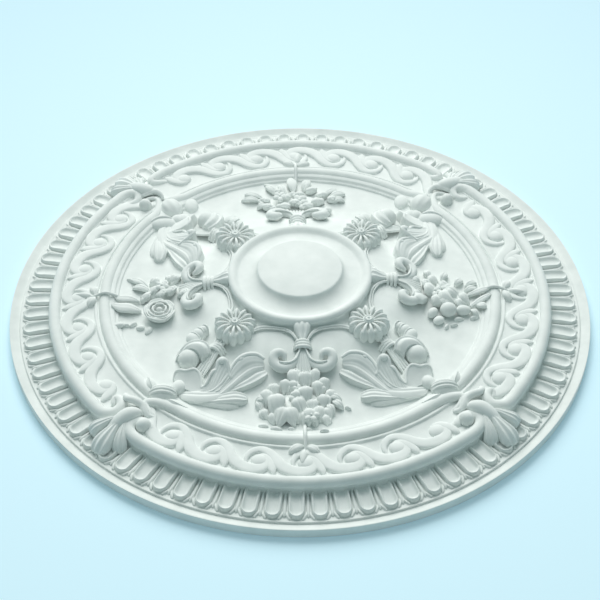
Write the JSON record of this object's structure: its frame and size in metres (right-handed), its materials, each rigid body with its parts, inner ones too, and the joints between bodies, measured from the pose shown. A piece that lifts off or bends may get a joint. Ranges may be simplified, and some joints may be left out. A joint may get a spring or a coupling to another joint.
{
  "type": "ceiling rose",
  "caption": "Large round plaster ceiling rose with a raised centre, garlands, a framed scroll frieze and a tongue-and-dart border.",
  "frame": {"origin": "centre of the flat back", "axes": "+Z out of the ornament and away from the back, -Y towards the middle of the front panel, +X to the right"},
  "size_m": [1, 1, 0.1],
  "materials": {
    "plaster": "matt white cast plaster, with a fine even surface"
  },
  "bodies": {
    "root": {"ceiling_rose": "plaster"}
  },
  "joints": []
}
